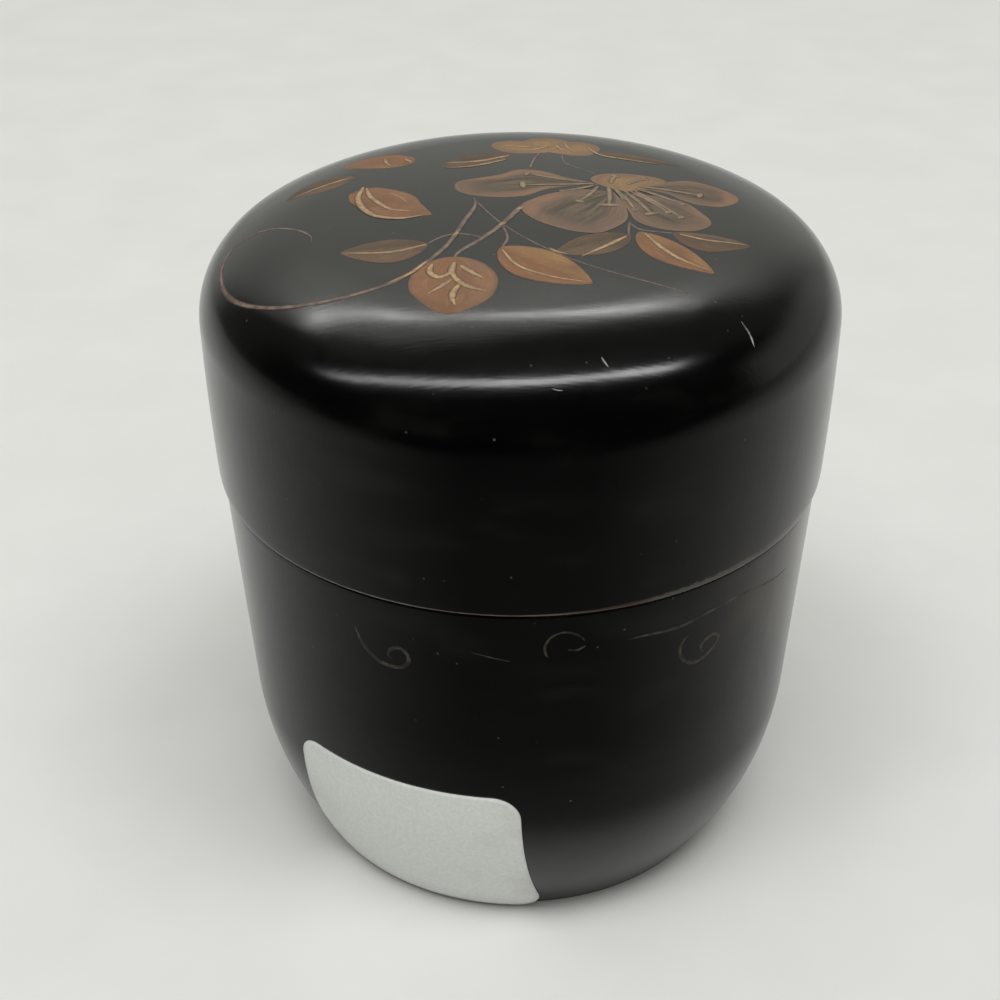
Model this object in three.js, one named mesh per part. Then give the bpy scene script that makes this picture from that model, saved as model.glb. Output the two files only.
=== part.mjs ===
// A natsume, the turned and lacquered wooden caddy for powdered tea.
// Three pieces: a cup with its collar turned from the same block, a domed lid
// that drops over the collar, and a small paper label stuck to the belly.
// Millimetres, +Z up. The origin is the centre of the foot, and +Z is the axis
// that both lacquered pieces were turned about.
import * as THREE from 'three';

// Driving dimensions of the cup
const bodyRadius = 32.05; // outer radius at the ledge that the lid stands on
const sideDraft = 1.58; // how much narrower the side is where the heel begins
const heelInset = 6.67; // how far the heel then draws in to the foot
const heelHeight = 18.5; // from the foot to where the heel begins
const sideHeight = 26.65; // from there to the ledge
const footRingWidth = 3.0; // flat ring that the caddy stands on
const footRecess = 0.6; // depth of the hollow inside that ring
const floorThickness = 4.0; // wood between the foot and the floor of the cup
const cupCornerRadius = 14.0; // curve between the cup's wall and its floor
const ledgeWidth = 2.4; // flat step between the side and the collar
const collarWall = 1.9; // thickness of the collar, rounded at its top
const collarHeadroom = 5.14; // how far the collar stops under the lid's shoulder

// Driving dimensions of the lid
const lidOverhang = 0.45; // how far the lid's edge stands out past the cup's
const lidFlare = 0.5; // how much wider the lid is at its shoulder than at its edge
const lidSideHeight = 17.29; // from the lid's edge to where the shoulder begins
const shoulderRadius = 7.82; // tight curve that the lid's side turns into
const blendRadius = 19.4; // wider curve from there to the crown
const blendTilt = THREE.MathUtils.degToRad(30); // slope where those two meet
const crownTilt = THREE.MathUtils.degToRad(4.5); // slope at the crown's edge
const crownThickness = 2.8; // wood in the middle of the crown
const rimRounding = 0.5; // both corners of the lid's lower edge

// Clearances between the lid and the cup
const collarClearance = 0.34; // all round between the collar and the lid's bore
const seatGap = 0.3; // between the ledge and the lid that rests on it

// Driving dimensions of the paper label
const labelWidth = 26.6; // round the belly
const labelHeight = 21.4; // down the belly and the heel
const labelTopDrop = 24.0; // from the ledge down to the label's upper edge
const labelCorner = 2.2; // radius of its four corners
const labelThickness = 0.3;
const labelGap = 0.3; // between the belly and the back of the label
const labelAzimuth = THREE.MathUtils.degToRad(-115.5); // middle of the label

// Fineness of the curves
const turnSteps = 64; // facets round the turning axis
const labelColumns = 18;
const labelRows = 12;

// Radii and heights that follow from the dimensions
const bellyRadius = bodyRadius - sideDraft;
const footRadius = bellyRadius - heelInset;
const ledgeHeight = heelHeight + sideHeight;
const collarRadius = bodyRadius - ledgeWidth;
const cupBore = collarRadius - collarWall;
const lidEdgeRadius = bodyRadius + lidOverhang;
const lidRadius = lidEdgeRadius + lidFlare;
const lidBore = collarRadius + collarClearance;
const lidEdgeHeight = ledgeHeight + seatGap;
const shoulderHeight = lidEdgeHeight + lidSideHeight;
const collarTop = shoulderHeight - collarHeadroom;
const lean = Math.atan2(sideDraft, sideHeight); // the side's angle from upright

// The heel is one arc: tangent to the side where the heel begins, and ending at
// the foot's edge. Its radius is the squared chord over twice the chord's reach
// along the side's normal.
const chordSquared = heelInset ** 2 + heelHeight ** 2;
const chordReach = heelInset * Math.cos(lean) - heelHeight * Math.sin(lean);
const heelRadius = chordSquared / (2 * chordReach);
const heelCentre = new THREE.Vector2(
  bellyRadius - heelRadius * Math.cos(lean),
  heelHeight + heelRadius * Math.sin(lean),
);
const footAngle = Math.asin(heelCentre.y / heelRadius); // below level, at the foot

// Points on an arc, from one angle to another, both ends included.
// Angles are in radians from the outward direction, positive upwards.
function arc(centreR, centreZ, radius, from, to, steps) {
  const points = [];
  for (let i = 0; i <= steps; i += 1) {
    const angle = from + ((to - from) * i) / steps;
    const r = centreR + radius * Math.cos(angle);
    points.push(new THREE.Vector2(r, centreZ + radius * Math.sin(angle)));
  }
  return points;
}

function point(r, z) {
  return new THREE.Vector2(r, z);
}

// Turns a profile of radius and height about the upright axis. The profile runs
// from the axis to the axis, with the wood on its left.
function turn(profile) {
  const geometry = new THREE.LatheGeometry(profile, turnSteps);
  return geometry.rotateX(Math.PI / 2);
}

// The cup: recessed foot, heel, side, ledge, collar, bore and curved floor
function cupGeometry() {
  const corner = Math.min(cupCornerRadius, cupBore, collarTop - floorThickness);
  const lip = collarWall / 2;
  const ringInner = footRadius - footRingWidth;
  const profile = [
    point(0, footRecess),
    point(ringInner - footRecess, footRecess),
    point(ringInner, 0),
    ...arc(heelCentre.x, heelCentre.y, heelRadius, -footAngle, -lean, 10),
    point(bodyRadius, ledgeHeight),
    point(collarRadius, ledgeHeight),
    ...arc(collarRadius - lip, collarTop - lip, lip, 0, Math.PI, 6),
    ...arc(cupBore - corner, floorThickness + corner, corner, 0, -Math.PI / 2, 7),
    point(0, floorThickness),
  ];
  return turn(profile);
}

// The lid: inner crown, inner blend, inner shoulder, bore, rounded edge, side with
// a slight outward bow, shoulder, blend and crown. Two arcs that touch where the
// slope is t have their centres apart by the difference of their radii, along the
// direction (sin t, cos t), and the crown's centre lies on the axis.
function lidGeometry() {
  const shoulderReach = lidRadius - shoulderRadius;
  const blendReach = shoulderReach - (blendRadius - shoulderRadius) * Math.sin(blendTilt);
  const blendCentre = shoulderHeight - (blendRadius - shoulderRadius) * Math.cos(blendTilt);
  const crownRadius = blendRadius + blendReach / Math.sin(crownTilt);
  const crownCentre = blendCentre - (crownRadius - blendRadius) * Math.cos(crownTilt);
  const blendFrom = Math.PI / 2 - blendTilt;
  const crownFrom = Math.PI / 2 - crownTilt;

  const innerBlend = blendRadius - crownThickness;
  const innerCorner = Math.max(shoulderRadius - (lidRadius - lidBore), rimRounding);
  const innerReach = lidBore - innerCorner;
  const innerTouch = Math.acos((innerReach - blendReach) / (innerBlend - innerCorner));
  const innerCornerHeight = blendCentre + (innerReach - blendReach) * Math.tan(innerTouch);

  const side = [];
  const sideSteps = 4;
  for (let i = 1; i < sideSteps; i += 1) {
    const rise = i / sideSteps;
    const bow = lidFlare * (1 - rise) ** 2;
    side.push(point(lidRadius - bow, lidEdgeHeight + lidSideHeight * rise));
  }
  const edge = lidEdgeHeight + rimRounding;
  const profile = [
    ...arc(0, crownCentre, crownRadius - crownThickness, Math.PI / 2, crownFrom, 2),
    ...arc(blendReach, blendCentre, innerBlend, crownFrom, innerTouch, 4).slice(1),
    ...arc(innerReach, innerCornerHeight, innerCorner, innerTouch, 0, 4).slice(1),
    ...arc(lidBore + rimRounding, edge, rimRounding, Math.PI, 1.5 * Math.PI, 2),
    ...arc(lidEdgeRadius - rimRounding, edge, rimRounding, -Math.PI / 2, 0, 2),
    ...side,
    ...arc(shoulderReach, shoulderHeight, shoulderRadius, 0, blendFrom, 5),
    ...arc(blendReach, blendCentre, blendRadius, blendFrom, crownFrom, 5).slice(1),
    ...arc(0, crownCentre, crownRadius, crownFrom, Math.PI / 2, 3).slice(1),
  ];
  return turn(profile);
}

// A place on the belly, some way down from the label's upper edge and some way
// round from its middle, raised off the belly by a height
function onBelly(round, down, raised) {
  const straight = (sideHeight - labelTopDrop) / Math.cos(lean);
  const onSide = Math.min(down, straight);
  const dip = lean + (down - onSide) / heelRadius; // the belly's angle from upright
  const sideR = bellyRadius + (straight - onSide) * Math.sin(lean);
  const sideZ = heelHeight + (straight - onSide) * Math.cos(lean);
  const surfaceR = sideR + heelRadius * (Math.cos(dip) - Math.cos(lean));
  const surfaceZ = sideZ - heelRadius * (Math.sin(dip) - Math.sin(lean));
  const r = surfaceR + raised * Math.cos(dip);
  const angle = labelAzimuth + round / surfaceR;
  return [r * Math.cos(angle), r * Math.sin(angle), surfaceZ - raised * Math.sin(dip)];
}

// The label: a grid of columns, shortened at both ends by the rounded corners,
// laid on the belly twice, for its back and its face, and closed round the edge
function labelGeometry() {
  const halfWidth = labelWidth / 2;
  const vertices = [];
  for (const raised of [labelGap, labelGap + labelThickness]) {
    for (let i = 0; i <= labelColumns; i += 1) {
      // A cosine gathers the columns at the two rounded ends.
      const round = -halfWidth * Math.cos((Math.PI * i) / labelColumns);
      const past = Math.max(Math.abs(round) - (halfWidth - labelCorner), 0);
      const cut = labelCorner - Math.sqrt(Math.max(labelCorner ** 2 - past ** 2, 0));
      for (let j = 0; j <= labelRows; j += 1) {
        const down = cut + ((labelHeight - 2 * cut) * j) / labelRows;
        vertices.push(...onBelly(round, down, raised));
      }
    }
  }
  const column = labelRows + 1;
  const layer = (labelColumns + 1) * column;
  const at = (i, j, face) => face * layer + i * column + j;
  const index = [];
  const quad = (a, b, c, d) => index.push(a, b, c, a, c, d);
  for (let i = 0; i < labelColumns; i += 1) {
    for (let j = 0; j < labelRows; j += 1) {
      quad(at(i, j, 1), at(i, j + 1, 1), at(i + 1, j + 1, 1), at(i + 1, j, 1));
      quad(at(i, j, 0), at(i + 1, j, 0), at(i + 1, j + 1, 0), at(i, j + 1, 0));
    }
    quad(at(i, 0, 0), at(i, 0, 1), at(i + 1, 0, 1), at(i + 1, 0, 0));
    quad(at(i + 1, labelRows, 0), at(i + 1, labelRows, 1), at(i, labelRows, 1), at(i, labelRows, 0));
  }
  for (let j = 0; j < labelRows; j += 1) {
    quad(at(0, j + 1, 0), at(0, j + 1, 1), at(0, j, 1), at(0, j, 0));
    quad(at(labelColumns, j, 0), at(labelColumns, j, 1), at(labelColumns, j + 1, 1), at(labelColumns, j + 1, 0));
  }
  const geometry = new THREE.BufferGeometry();
  geometry.setAttribute('position', new THREE.Float32BufferAttribute(vertices, 3));
  geometry.setIndex(index);
  geometry.computeVertexNormals();
  return geometry;
}

function piece(name, geometry, color, roughness) {
  const material = new THREE.MeshStandardMaterial({ color, roughness, metalness: 0 });
  const mesh = new THREE.Mesh(geometry, material);
  mesh.name = name;
  return mesh;
}

const caddy = new THREE.Group();
caddy.name = 'natsume_tea_caddy';
caddy.add(piece('body', cupGeometry(), 0x15110f, 0.25));
caddy.add(piece('lid', lidGeometry(), 0x17120f, 0.25));
caddy.add(piece('paper_label', labelGeometry(), 0xe6e5e0, 0.8));

export default caddy;
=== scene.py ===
# %% [markdown]
# A natsume is a small turned wooden caddy for powdered tea, lacquered black.
# The shapes that carry and fit are already settled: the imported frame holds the
# cup, the lid and the label at their real size. Here each of them gets a finer
# surface and a finish made of nodes, and the lid gets its painted spray.

import bmesh
import bpy
import numpy as np
from mathutils import Matrix, Vector


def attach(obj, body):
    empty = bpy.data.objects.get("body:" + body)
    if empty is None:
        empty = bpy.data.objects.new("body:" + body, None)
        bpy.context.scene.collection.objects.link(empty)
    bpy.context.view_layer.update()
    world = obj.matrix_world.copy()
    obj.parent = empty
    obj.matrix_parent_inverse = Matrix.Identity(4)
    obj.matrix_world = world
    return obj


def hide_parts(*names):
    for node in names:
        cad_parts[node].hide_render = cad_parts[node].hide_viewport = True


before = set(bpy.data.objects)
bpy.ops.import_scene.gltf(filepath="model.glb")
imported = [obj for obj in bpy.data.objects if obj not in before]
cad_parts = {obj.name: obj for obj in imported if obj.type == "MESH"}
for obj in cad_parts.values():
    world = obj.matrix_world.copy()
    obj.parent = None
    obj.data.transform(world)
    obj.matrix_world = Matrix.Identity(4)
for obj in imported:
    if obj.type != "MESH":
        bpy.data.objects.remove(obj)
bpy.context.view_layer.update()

MM = 0.001  # one millimetre in the scene's metres
scene = bpy.context.scene
scene.view_settings.view_transform = "Standard"

# %% [markdown]
# The camera comes first, because everything after it is judged through it. Its
# place was found by fitting a turned profile to the photograph's outline: the
# lens looks down at a little over thirty degrees from twenty centimetres away.
# A camera this near makes the foot look much smaller than the lid, and that
# foreshortening is a good part of how the caddy reads.

# %% The camera
CAMERA_DISTANCE = 200.4 * MM
CAMERA_ELEVATION = 0.5654  # radians above level
CAMERA_ROLL = -0.0067  # radians, the hand's slight tilt
CAMERA_TARGET = Vector((-2.2, 0.0, 37.84)) * MM
FOCAL_SHARE = 1.8  # focal length over the width of the square picture
SENSOR = 36.0

camera_data = bpy.data.cameras.new("camera")
camera_data.sensor_width = SENSOR
camera_data.lens = SENSOR * FOCAL_SHARE
camera_data.clip_start = 0.01
camera = bpy.data.objects.new("camera", camera_data)
scene.collection.objects.link(camera)
back = Vector((0.0, -np.cos(CAMERA_ELEVATION), np.sin(CAMERA_ELEVATION)))
camera.location = CAMERA_TARGET + back * CAMERA_DISTANCE
camera.rotation_euler = (-back).to_track_quat("-Z", "Y").to_euler()
camera.rotation_euler.rotate_axis("Z", CAMERA_ROLL)
scene.camera = camera
print("camera at", [round(v, 4) for v in camera.location], "lens", round(camera_data.lens, 1))

# %% [markdown]
# Every new piece is a surface worked out with numpy: a grid of points in two
# parameters, joined by squares. One helper turns such a grid into a mesh with
# whole-array calls, and stores the two parameters as a UV map, so that a finish
# can follow the surface wherever it bends.


# %% A grid of points becomes a mesh
def grid_mesh(name, points, uv=None):
    """Joins rows by columns of points (metres) into squares. The last column
    joins the first, so each row is a ring. Rings that shrink to a point at the
    ends are merged there, which closes the surface."""
    rows, columns = points.shape[:2]
    index = np.arange(rows * columns).reshape(rows, columns)
    beside = np.roll(index, -1, axis=1)
    quads = np.stack([index[:-1], beside[:-1], beside[1:], index[1:]], axis=-1)
    mesh = bpy.data.meshes.new(name)
    mesh.from_pydata(points.reshape(-1, 3).tolist(), [], quads.reshape(-1, 4).tolist())
    if uv is not None:
        layer = mesh.uv_layers.new(name="along")
        corner = np.empty(len(mesh.loops), dtype=np.int32)
        mesh.loops.foreach_get("vertex_index", corner)
        layer.data.foreach_set("uv", uv.reshape(-1, 2)[corner].astype(np.float32).ravel())
    shell = bmesh.new()
    shell.from_mesh(mesh)
    bmesh.ops.remove_doubles(shell, verts=shell.verts, dist=2e-8)
    bmesh.ops.dissolve_degenerate(shell, edges=shell.edges, dist=1e-8)
    bmesh.ops.recalc_face_normals(shell, faces=shell.faces)
    shell.to_mesh(mesh)
    shell.free()
    mesh.polygons.foreach_set("use_smooth", np.ones(len(mesh.polygons), dtype=bool))
    mesh.update()
    piece = bpy.data.objects.new(name, mesh)
    scene.collection.objects.link(piece)
    return piece


def turned(name, profile, steps=256):
    """Turns a profile of (radius, height) in millimetres about the upright axis:
    x is r cos a and y is r sin a. The profile starts and ends on the axis."""
    angle = np.linspace(0.0, 2.0 * np.pi, steps, endpoint=False)
    r, z = profile[:, 0:1], profile[:, 1:2]
    points = np.stack([r * np.cos(angle), r * np.sin(angle), z + 0.0 * angle], axis=-1)
    piece = grid_mesh(name, points * MM)
    print(name, "faces:", len(piece.data.polygons))
    return piece


def arc(centre_r, centre_z, radius, start, end, count):
    """Points (radius, height) on an arc. Angles are in radians from outward."""
    angle = np.linspace(start, end, count)
    return np.stack([centre_r + radius * np.cos(angle), centre_z + radius * np.sin(angle)], axis=1)


def straight(start, end, count):
    """Evenly spaced points on a line, without the end."""
    share = np.linspace(0.0, 1.0, count, endpoint=False)[:, None]
    return np.array(start) * (1.0 - share) + np.array(end) * share


# %% [markdown]
# Wood turned on a lathe is a profile carried round an axis, so the cup and the
# lid are made the same way: lines and arcs in radius and height, carried round
# in 256 steps. The sizes are those of the frame's solids. New are the finer steps
# and the small rounded corners, where lacquer pools and softens every edge, and
# the lid's lower edge comes down to rest on its ledge, as it does in life.

# %% The cup's profile
BODY_RADIUS = 32.05
SIDE_DRAFT = 1.58
HEEL_INSET = 6.67
HEEL_HEIGHT = 18.5
SIDE_HEIGHT = 26.65
LEDGE_HEIGHT = HEEL_HEIGHT + SIDE_HEIGHT
LEDGE_WIDTH = 2.4
COLLAR_WALL = 1.9
COLLAR_TOP = 57.6
FLOOR_THICKNESS = 4.0
CUP_CORNER = 14.0
FOOT_RING = 3.0
FOOT_RECESS = 0.6
EDGE_SOFTENING = 0.35  # radius that the lacquer gives to sharp corners

belly_radius = BODY_RADIUS - SIDE_DRAFT
foot_radius = belly_radius - HEEL_INSET
collar_radius = BODY_RADIUS - LEDGE_WIDTH
cup_bore = collar_radius - COLLAR_WALL
lean = np.arctan2(SIDE_DRAFT, SIDE_HEIGHT)
heel_radius = (HEEL_INSET**2 + HEEL_HEIGHT**2) / (
    2.0 * (HEEL_INSET * np.cos(lean) - HEEL_HEIGHT * np.sin(lean))
)
heel_r = belly_radius - heel_radius * np.cos(lean)
heel_z = HEEL_HEIGHT + heel_radius * np.sin(lean)
foot_angle = np.arcsin((heel_z - EDGE_SOFTENING) / heel_radius)
foot_edge = heel_r + heel_radius * np.cos(foot_angle)

soft = EDGE_SOFTENING
lip = COLLAR_WALL / 2.0
ring_inner = foot_radius - FOOT_RING
cup_profile = np.concatenate([
    straight((0.0, FOOT_RECESS), (ring_inner - FOOT_RECESS, FOOT_RECESS), 24),
    straight((ring_inner - FOOT_RECESS, FOOT_RECESS), (ring_inner, 0.0), 5),
    straight((ring_inner, 0.0), (foot_edge - 0.5 * soft, 0.0), 6),
    straight((foot_edge - 0.5 * soft, 0.0), (foot_edge, soft), 4),
    arc(heel_r, heel_z, heel_radius, -foot_angle, -lean, 60)[:-1],
    straight((belly_radius, HEEL_HEIGHT), (BODY_RADIUS, LEDGE_HEIGHT - soft), 40),
    arc(BODY_RADIUS - soft, LEDGE_HEIGHT - soft, soft, 0.0, 0.5 * np.pi, 6),
    straight((BODY_RADIUS - soft, LEDGE_HEIGHT), (collar_radius, LEDGE_HEIGHT), 5)[1:],
    straight((collar_radius, LEDGE_HEIGHT), (collar_radius, COLLAR_TOP - lip), 12),
    arc(collar_radius - lip, COLLAR_TOP - lip, lip, 0.0, np.pi, 17),
    straight((cup_bore, COLLAR_TOP - lip), (cup_bore, FLOOR_THICKNESS + CUP_CORNER), 20)[1:],
    arc(cup_bore - CUP_CORNER, FLOOR_THICKNESS + CUP_CORNER, CUP_CORNER, 0.0, -0.5 * np.pi, 30),
    straight((cup_bore - CUP_CORNER, FLOOR_THICKNESS), (0.0, FLOOR_THICKNESS), 12)[1:],
    [(0.0, FLOOR_THICKNESS)],
])
cup = turned("cup_shell", cup_profile)

# %% The lid's profile
LID_OVERHANG = 0.45
LID_FLARE = 0.5
LID_SIDE = 17.51
SEAT_GAP = 0.08  # the lid stands on the ledge, so only a hair is left between them
SHOULDER_RADIUS = 7.82
BLEND_RADIUS = 19.4
BLEND_TILT = np.radians(30.0)  # slope where the shoulder's two curves meet
CROWN_TILT = np.radians(4.5)  # slope at the edge of the crown's low dome
CROWN_THICKNESS = 2.8
COLLAR_CLEARANCE = 0.34
RIM_ROUNDING = 0.5
PAINT_HEIGHT = 0.06  # the height that is left for the spray's lacquer on top

lid_edge_radius = BODY_RADIUS + LID_OVERHANG
lid_radius = lid_edge_radius + LID_FLARE
lid_bore = collar_radius + COLLAR_CLEARANCE
lid_edge = LEDGE_HEIGHT + SEAT_GAP
side_rise = LID_SIDE - PAINT_HEIGHT
shoulder_height = lid_edge + side_rise
shoulder_r = lid_radius - SHOULDER_RADIUS
# Two arcs that touch where the slope is t have their centres apart by the
# difference of their radii, along the direction (sin t, cos t).
blend_r = shoulder_r - (BLEND_RADIUS - SHOULDER_RADIUS) * np.sin(BLEND_TILT)
blend_z = shoulder_height - (BLEND_RADIUS - SHOULDER_RADIUS) * np.cos(BLEND_TILT)
CROWN_RADIUS = BLEND_RADIUS + blend_r / np.sin(CROWN_TILT)
crown_z = blend_z - (CROWN_RADIUS - BLEND_RADIUS) * np.cos(CROWN_TILT)
inner_corner = SHOULDER_RADIUS - (lid_radius - lid_bore)
inner_r = lid_bore - inner_corner
inner_blend = BLEND_RADIUS - CROWN_THICKNESS
inner_touch = np.arccos((inner_r - blend_r) / (inner_blend - inner_corner))
inner_z = blend_z + (inner_r - blend_r) * np.tan(inner_touch)

rise = np.linspace(0.0, 1.0, 40)[1:-1]
lid_side = np.stack([lid_radius - LID_FLARE * (1.0 - rise) ** 2, lid_edge + side_rise * rise], axis=1)
rim = lid_edge + RIM_ROUNDING
lid_profile = np.concatenate([
    arc(0.0, crown_z, CROWN_RADIUS - CROWN_THICKNESS, 0.5 * np.pi, 0.5 * np.pi - CROWN_TILT, 16),
    arc(blend_r, blend_z, inner_blend, 0.5 * np.pi - CROWN_TILT, inner_touch, 16)[1:],
    arc(inner_r, inner_z, inner_corner, inner_touch, 0.0, 16)[1:],
    straight((lid_bore, inner_z), (lid_bore, rim), 16)[1:],
    arc(lid_bore + RIM_ROUNDING, rim, RIM_ROUNDING, np.pi, 1.5 * np.pi, 7),
    arc(lid_edge_radius - RIM_ROUNDING, rim, RIM_ROUNDING, -0.5 * np.pi, 0.0, 7),
    lid_side[lid_side[:, 1] > rim + 0.2],
    arc(shoulder_r, shoulder_height, SHOULDER_RADIUS, 0.0, 0.5 * np.pi - BLEND_TILT, 40),
    arc(blend_r, blend_z, BLEND_RADIUS, 0.5 * np.pi - BLEND_TILT, 0.5 * np.pi - CROWN_TILT, 50)[1:],
    arc(0.0, crown_z, CROWN_RADIUS, 0.5 * np.pi - CROWN_TILT, 0.5 * np.pi, 60)[1:],
])
lid = turned("lid_shell", lid_profile)
print("lid", round(2 * lid_radius, 2), "mm across, top at", round(crown_z + CROWN_RADIUS, 2), "mm")

# %% [markdown]
# The little label is paper, so it keeps its thickness and its width wherever it
# lies. It is laid on the belly by two lengths: how far round from its middle,
# and how far down from its upper edge. Its corners are quarter circles, and the
# grid is a stack of rings from the middle outwards, so the edge is one clean
# line. Down at the heel the belly curves two ways at once, which paper can't
# follow, so the lowest edge stands off a little.

# %% The paper label
LABEL_WIDTH = 26.6
LABEL_HEIGHT = 21.4
LABEL_DROP = 24.0  # from the ledge down to its upper edge
LABEL_CORNER = 3.0
LABEL_AZIMUTH = np.radians(-115.5)
PAPER = 0.12  # thickness of the paper
GLUE = 0.02  # thickness of the glue under it
LABEL_LIFT = 0.45  # how far its lowest edge stands off the heel
CURL_FROM = 0.72  # share of its height from which it stands off
LABEL_RINGS = 24  # rings of the grid from its middle to its edge


def on_belly(around, down, raised):
    """A place on the belly: straight down the side as far as the heel, then
    along the heel's arc, with the given height above the wood."""
    run = (SIDE_HEIGHT - LABEL_DROP) / np.cos(lean)
    on_side = np.minimum(down, run)
    dip = lean + (down - on_side) / heel_radius
    r = belly_radius + (run - on_side) * np.sin(lean) + heel_radius * (np.cos(dip) - np.cos(lean))
    z = HEEL_HEIGHT + (run - on_side) * np.cos(lean) - heel_radius * (np.sin(dip) - np.sin(lean))
    angle = LABEL_AZIMUTH + around / r
    out = r + raised * np.cos(dip)
    return np.stack([out * np.cos(angle), out * np.sin(angle), z - raised * np.sin(dip)], axis=-1)


def rounded_outline(width, height, corner, side=24, bend=10):
    """Points round a rectangle: four straight sides, each followed by a quarter
    circle. Each quarter turns the one before it by a right angle."""
    halves = [(0.5 * width, 0.5 * height), (-0.5 * width, 0.5 * height),
              (-0.5 * width, -0.5 * height), (0.5 * width, -0.5 * height)]
    parts = []
    for quarter, (x, y) in enumerate(halves):
        centre = np.array([x - np.sign(x) * corner, y - np.sign(y) * corner])
        angle = 0.5 * np.pi * (quarter + np.linspace(0.0, 1.0, bend, endpoint=False))
        parts.append(centre + corner * np.stack([np.cos(angle), np.sin(angle)], axis=1))
        turned_to = 0.5 * np.pi * (quarter + 1)
        leave = centre + corner * np.array([np.cos(turned_to), np.sin(turned_to)])
        x, y = halves[(quarter + 1) % 4]
        arrive = np.array([x - np.sign(x) * corner, y - np.sign(y) * corner])
        arrive = arrive + corner * np.array([np.cos(turned_to), np.sin(turned_to)])
        parts.append(straight(leave, arrive, side))
    return np.concatenate(parts)


outline = rounded_outline(LABEL_WIDTH, LABEL_HEIGHT, LABEL_CORNER)
share = np.concatenate([np.linspace(0.0, 1.0, LABEL_RINGS), np.linspace(1.0, 0.0, LABEL_RINGS)])
around = share[:, None] * outline[None, :, 0]
down = 0.5 * LABEL_HEIGHT + share[:, None] * outline[None, :, 1]
face = np.concatenate([np.full(LABEL_RINGS, PAPER), np.zeros(LABEL_RINGS)])[:, None]
curl = LABEL_LIFT * np.clip((down / LABEL_HEIGHT - CURL_FROM) / (1.0 - CURL_FROM), 0.0, 1.0) ** 2
label_uv = np.stack([around / LABEL_WIDTH + 0.5, down / LABEL_HEIGHT], axis=-1)
label = grid_mesh("label_sheet", on_belly(around, down, GLUE + face + curl) * MM, label_uv)
print("label", LABEL_WIDTH, "x", LABEL_HEIGHT, "mm, faces:", len(label.data.polygons))

# %% [markdown]
# The spray is painted in raised lacquer: each leaf, petal and stem is a low
# mound of coloured lacquer with gold brushed over it. All of them are one form,
# a stroke: a spine drawn on the crown, a half width to each side of it, and a
# low lens for a section. A leaf is a stroke that swells, a stem one that barely
# does. Working in millimetres on the crown keeps each of them lying on the wood.


# %% A brush stroke on the crown
def on_crown(x, y, raised):
    """Lifts a plan position (millimetres) onto the lid. Out from the axis the
    crown's arc, the blend's and the shoulder's take over from one another. Each
    point is its arc's centre plus the radius along (sine, cosine) of the slope."""
    r = np.hypot(x, y) + 1e-9
    crown_edge = CROWN_RADIUS * np.sin(CROWN_TILT)
    blend_edge = blend_r + BLEND_RADIUS * np.sin(BLEND_TILT)
    zone = [r < crown_edge, r < blend_edge]
    away = np.select(zone, [0.0, blend_r], shoulder_r)
    radius = np.select(zone, [CROWN_RADIUS, BLEND_RADIUS], SHOULDER_RADIUS)
    level = np.select(zone, [crown_z, blend_z], shoulder_height)
    sine = np.clip((r - away) / radius, -1.0, 1.0)
    cosine = np.sqrt(1.0 - sine**2)
    out = r + raised * sine
    return np.stack([out * x / r, out * y / r, level + (radius + raised) * cosine], axis=-1)


def smooth_path(points, count):
    """A curve through the given plan points, evenly stepped: a Catmull-Rom
    spline, which leaves each point parallel to the line between its neighbours."""
    p = np.array(points, dtype=float)
    p = np.concatenate([[2 * p[0] - p[1]], p, [2 * p[-1] - p[-2]]])
    spans = len(p) - 3
    s = np.linspace(0.0, spans, count)
    i = np.minimum(s.astype(int), spans - 1)
    t = (s - i)[:, None]
    a, b, c, d = p[i], p[i + 1], p[i + 2], p[i + 3]
    return 0.5 * (2 * b + (c - a) * t + (2 * a - 5 * b + 4 * c - d) * t**2 + (3 * b - a - 3 * c + d) * t**3)


SUNK = 0.03  # how far a stroke's underside sits in the black lacquer


def stroke(name, place, path, half_left, half_right, thick, sections=16, lift=0.0):
    """A low mound along a path, wider or narrower to each side of it. Across it
    the upper side rises as one less the square of the offset, so that it runs out
    flat at its edges. Lift is the height of the paint that it lies on."""
    step = np.gradient(path, axis=0)
    step /= np.linalg.norm(step, axis=1)[:, None] + 1e-12
    side = np.stack([-step[:, 1], step[:, 0]], axis=1)
    angle = np.linspace(0.0, 2.0 * np.pi, sections, endpoint=False)
    across = np.cos(angle)[None, :]
    half = np.where(across > 0.0, half_left[:, None], half_right[:, None])
    plan = path[:, None, :] + (across * half)[:, :, None] * side[:, None, :]
    slim = np.minimum(1.0, (half_left + half_right)[:, None] / (8.0 * thick))
    swell = slim * (1.0 - across**2)
    raised = lift + np.where(np.sin(angle)[None, :] > 0.0, thick * swell, -(lift + SUNK) * swell)
    length = np.linspace(0.0, 1.0, len(path))[:, None]
    uv = np.stack([0.5 + 0.5 * across + 0.0 * length, length + 0.0 * across], axis=-1)
    return grid_mesh(name, place(plan[..., 0], plan[..., 1], raised) * MM, uv)


def straight_spine(base, tip, bend, count):
    """A spine from base to tip that bows to its left by a parabola."""
    base, tip = np.array(base), np.array(tip)
    along = np.linspace(0.0, 1.0, count)[:, None]
    chord = tip - base
    normal = np.array([-chord[1], chord[0]]) / np.linalg.norm(chord)
    return base + chord * along + normal * bend * 4.0 * along * (1.0 - along)


def leaf_widths(widest, lean_in, count):
    """Half width along a leaf: a sine that starts and ends at nothing, with its
    widest place moved towards the base when lean_in is under one."""
    along = np.linspace(0.0, 1.0, count)
    return widest * np.sin(np.pi * along**lean_in) ** 0.8


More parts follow.
